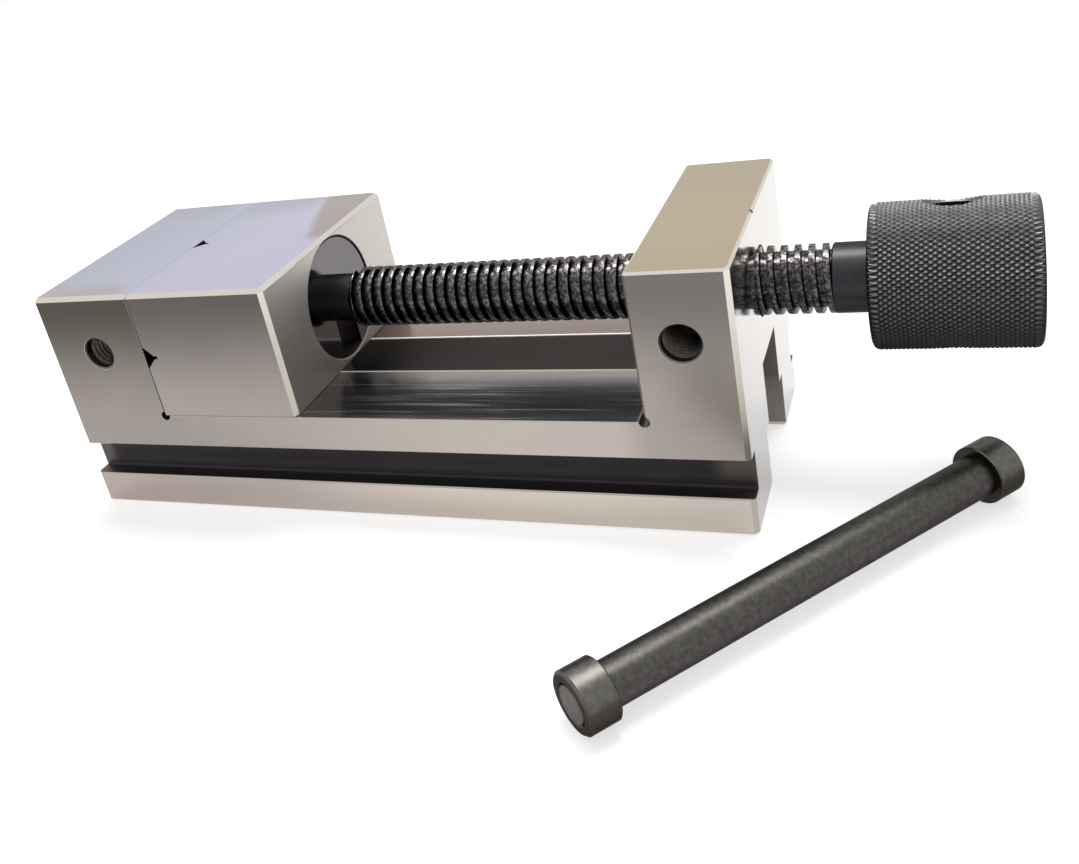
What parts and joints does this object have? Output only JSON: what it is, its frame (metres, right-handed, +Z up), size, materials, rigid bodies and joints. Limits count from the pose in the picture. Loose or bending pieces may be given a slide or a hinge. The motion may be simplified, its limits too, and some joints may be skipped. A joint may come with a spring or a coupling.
{
  "type": "precision machine vise",
  "caption": "Ground toolmaker's machine vise with a screw-driven sliding jaw, V grooves, side clamp grooves, knurled knob and a loose tommy bar.",
  "frame": {"origin": "on the underside, on the centre line, in the plane of the fixed jaw's clamping face", "axes": "+X along the ways towards the knob, +Y towards the far side, +Z up"},
  "size_m": [0.2223, 0.1241, 0.0593],
  "materials": {
    "ground_steel": "surface ground, fine straight grain",
    "plain_steel": "ground",
    "black_oxide": "black oxide",
    "black_fastener": "black oxide",
    "blued_plate": "dark blue-black oxide, polished",
    "oiled_screw": "black oxide with oil",
    "knurled_black": "black oxide over fine diamond knurl",
    "bar_black": "black oxide, slightly worn",
    "bronze": "turned bronze"
  },
  "bodies": {
    "base": {"vise_body": "ground_steel", "screw_nut": "bronze", "nut_grub_screw": "black_fastener"},
    "sliding_jaw": {"moving_jaw": "ground_steel", "jaw_key": "plain_steel", "hold_down_plate": "black_oxide", "hold_down_screws": "black_fastener", "retainer_plate": "blued_plate", "retainer_grub_screw": "black_fastener", "thrust_pad": "plain_steel"},
    "screw_and_knob": {"lead_screw": "oiled_screw", "thrust_button": "plain_steel", "knob": "knurled_black", "knob_pin": "black_fastener"},
    "loose_bar": {"tommy_bar": "bar_black", "tommy_bar_cap_near": "bar_black", "tommy_bar_cap_far": "bar_black"}
  },
  "joints": [
    {"name": "jaw_slide", "type": "slide", "parent": "base", "child": "sliding_jaw", "axis": [1, 0, 0], "range_m": [0, 0.082]},
    {"name": "screw_spin", "type": "hinge", "parent": "sliding_jaw", "child": "screw_and_knob", "pos_m": [0, 0, 0.0427], "axis": [1, 0, 0], "range_deg": [0, 10736]},
    {"name": "tommy_bar_draw", "type": "slide", "parent": "base", "child": "loose_bar", "axis": [-0.6494, -0.7604, 0], "range_m": [0, 0.06]}
  ],
  "couplings": [
    {"joint": "screw_spin", "follows": "jaw_slide", "rad_per_m": 2284.8}
  ]
}
